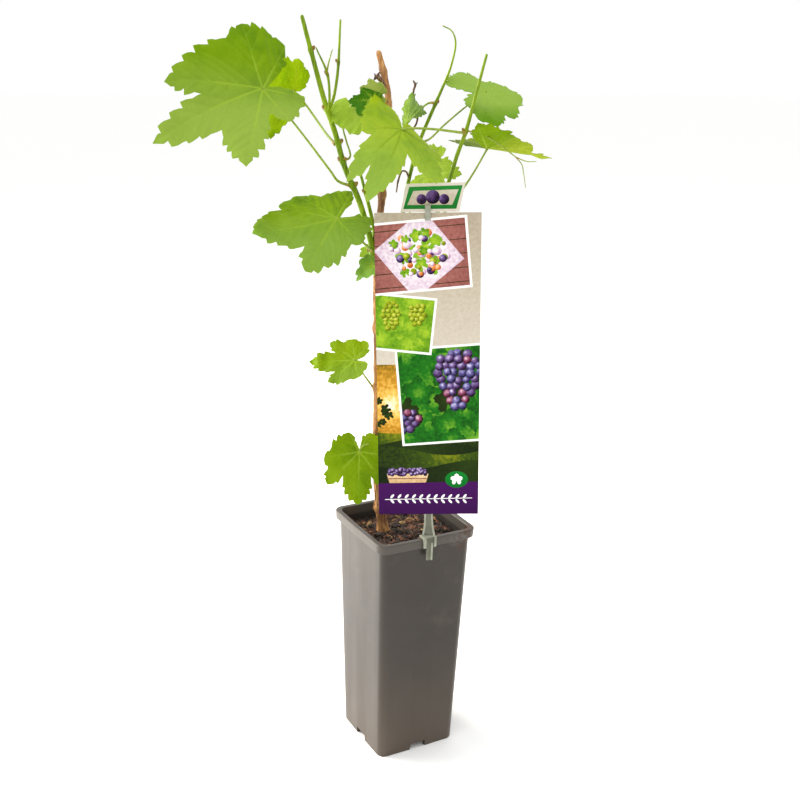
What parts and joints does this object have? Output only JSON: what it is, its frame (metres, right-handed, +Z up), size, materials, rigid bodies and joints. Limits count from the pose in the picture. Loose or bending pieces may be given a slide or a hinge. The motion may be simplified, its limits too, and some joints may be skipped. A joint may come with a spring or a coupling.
{
  "type": "potted grapevine",
  "caption": "Young grapevine with lobed green leaves in a tall square dark grey nursery pot, with a plant label clipped to the rim.",
  "frame": {"origin": "middle of the pot's flat underside", "axes": "+Z up, -Y out of the pot's front face, where the plant label is clipped; +X to the right seen from the front"},
  "size_m": [0.36, 0.2153, 0.7285],
  "materials": {
    "leaf": "thin matte green leaf blade",
    "stem": "smooth green shoot and petiole",
    "bark": "peeling brown bark",
    "compost": "damp bark compost",
    "pot_plastic": "dark grey moulded plastic, slightly satin",
    "clip_plastic": "pale grey-green translucent plastic",
    "card": "coated printed card, slight gloss"
  },
  "bodies": {
    "root": {"label_card": "card", "label_clip": "clip_plastic", "label_header": "card", "label_stick": "clip_plastic", "leaf_back_high": "leaf", "leaf_back_low": "leaf", "leaf_back_middle": "leaf", "leaf_backlit_centre": "leaf", "leaf_behind_left": "leaf", "leaf_big_left": "leaf", "leaf_centre_front": "leaf", "leaf_edge_right": "leaf", "leaf_folded_small": "leaf", "leaf_inner_left": "leaf", "leaf_lowest_left": "leaf", "leaf_mid_small": "leaf", "leaf_middle_left": "leaf", "leaf_small_left": "leaf", "leaf_upper_right": "leaf", "petiole_back_high": "stem", "petiole_back_low": "stem", "petiole_back_middle": "stem", "petiole_backlit_centre": "stem", "petiole_behind_left": "stem", "petiole_big_left": "stem", "petiole_centre_front": "stem", "petiole_edge_right": "stem", "petiole_folded_small": "stem", "petiole_inner_left": "stem", "petiole_lowest_left": "stem", "petiole_mid_small": "stem", "petiole_middle_left": "stem", "petiole_small_left": "stem", "petiole_upper_right": "stem", "pot": "pot_plastic", "root_ball": "compost", "shoot_inner": "stem", "shoot_left": "stem", "shoot_left_side": "stem", "shoot_left_sprig": "stem", "shoot_right": "stem", "shoot_tendril": "stem", "trunk": "bark"}
  },
  "joints": []
}
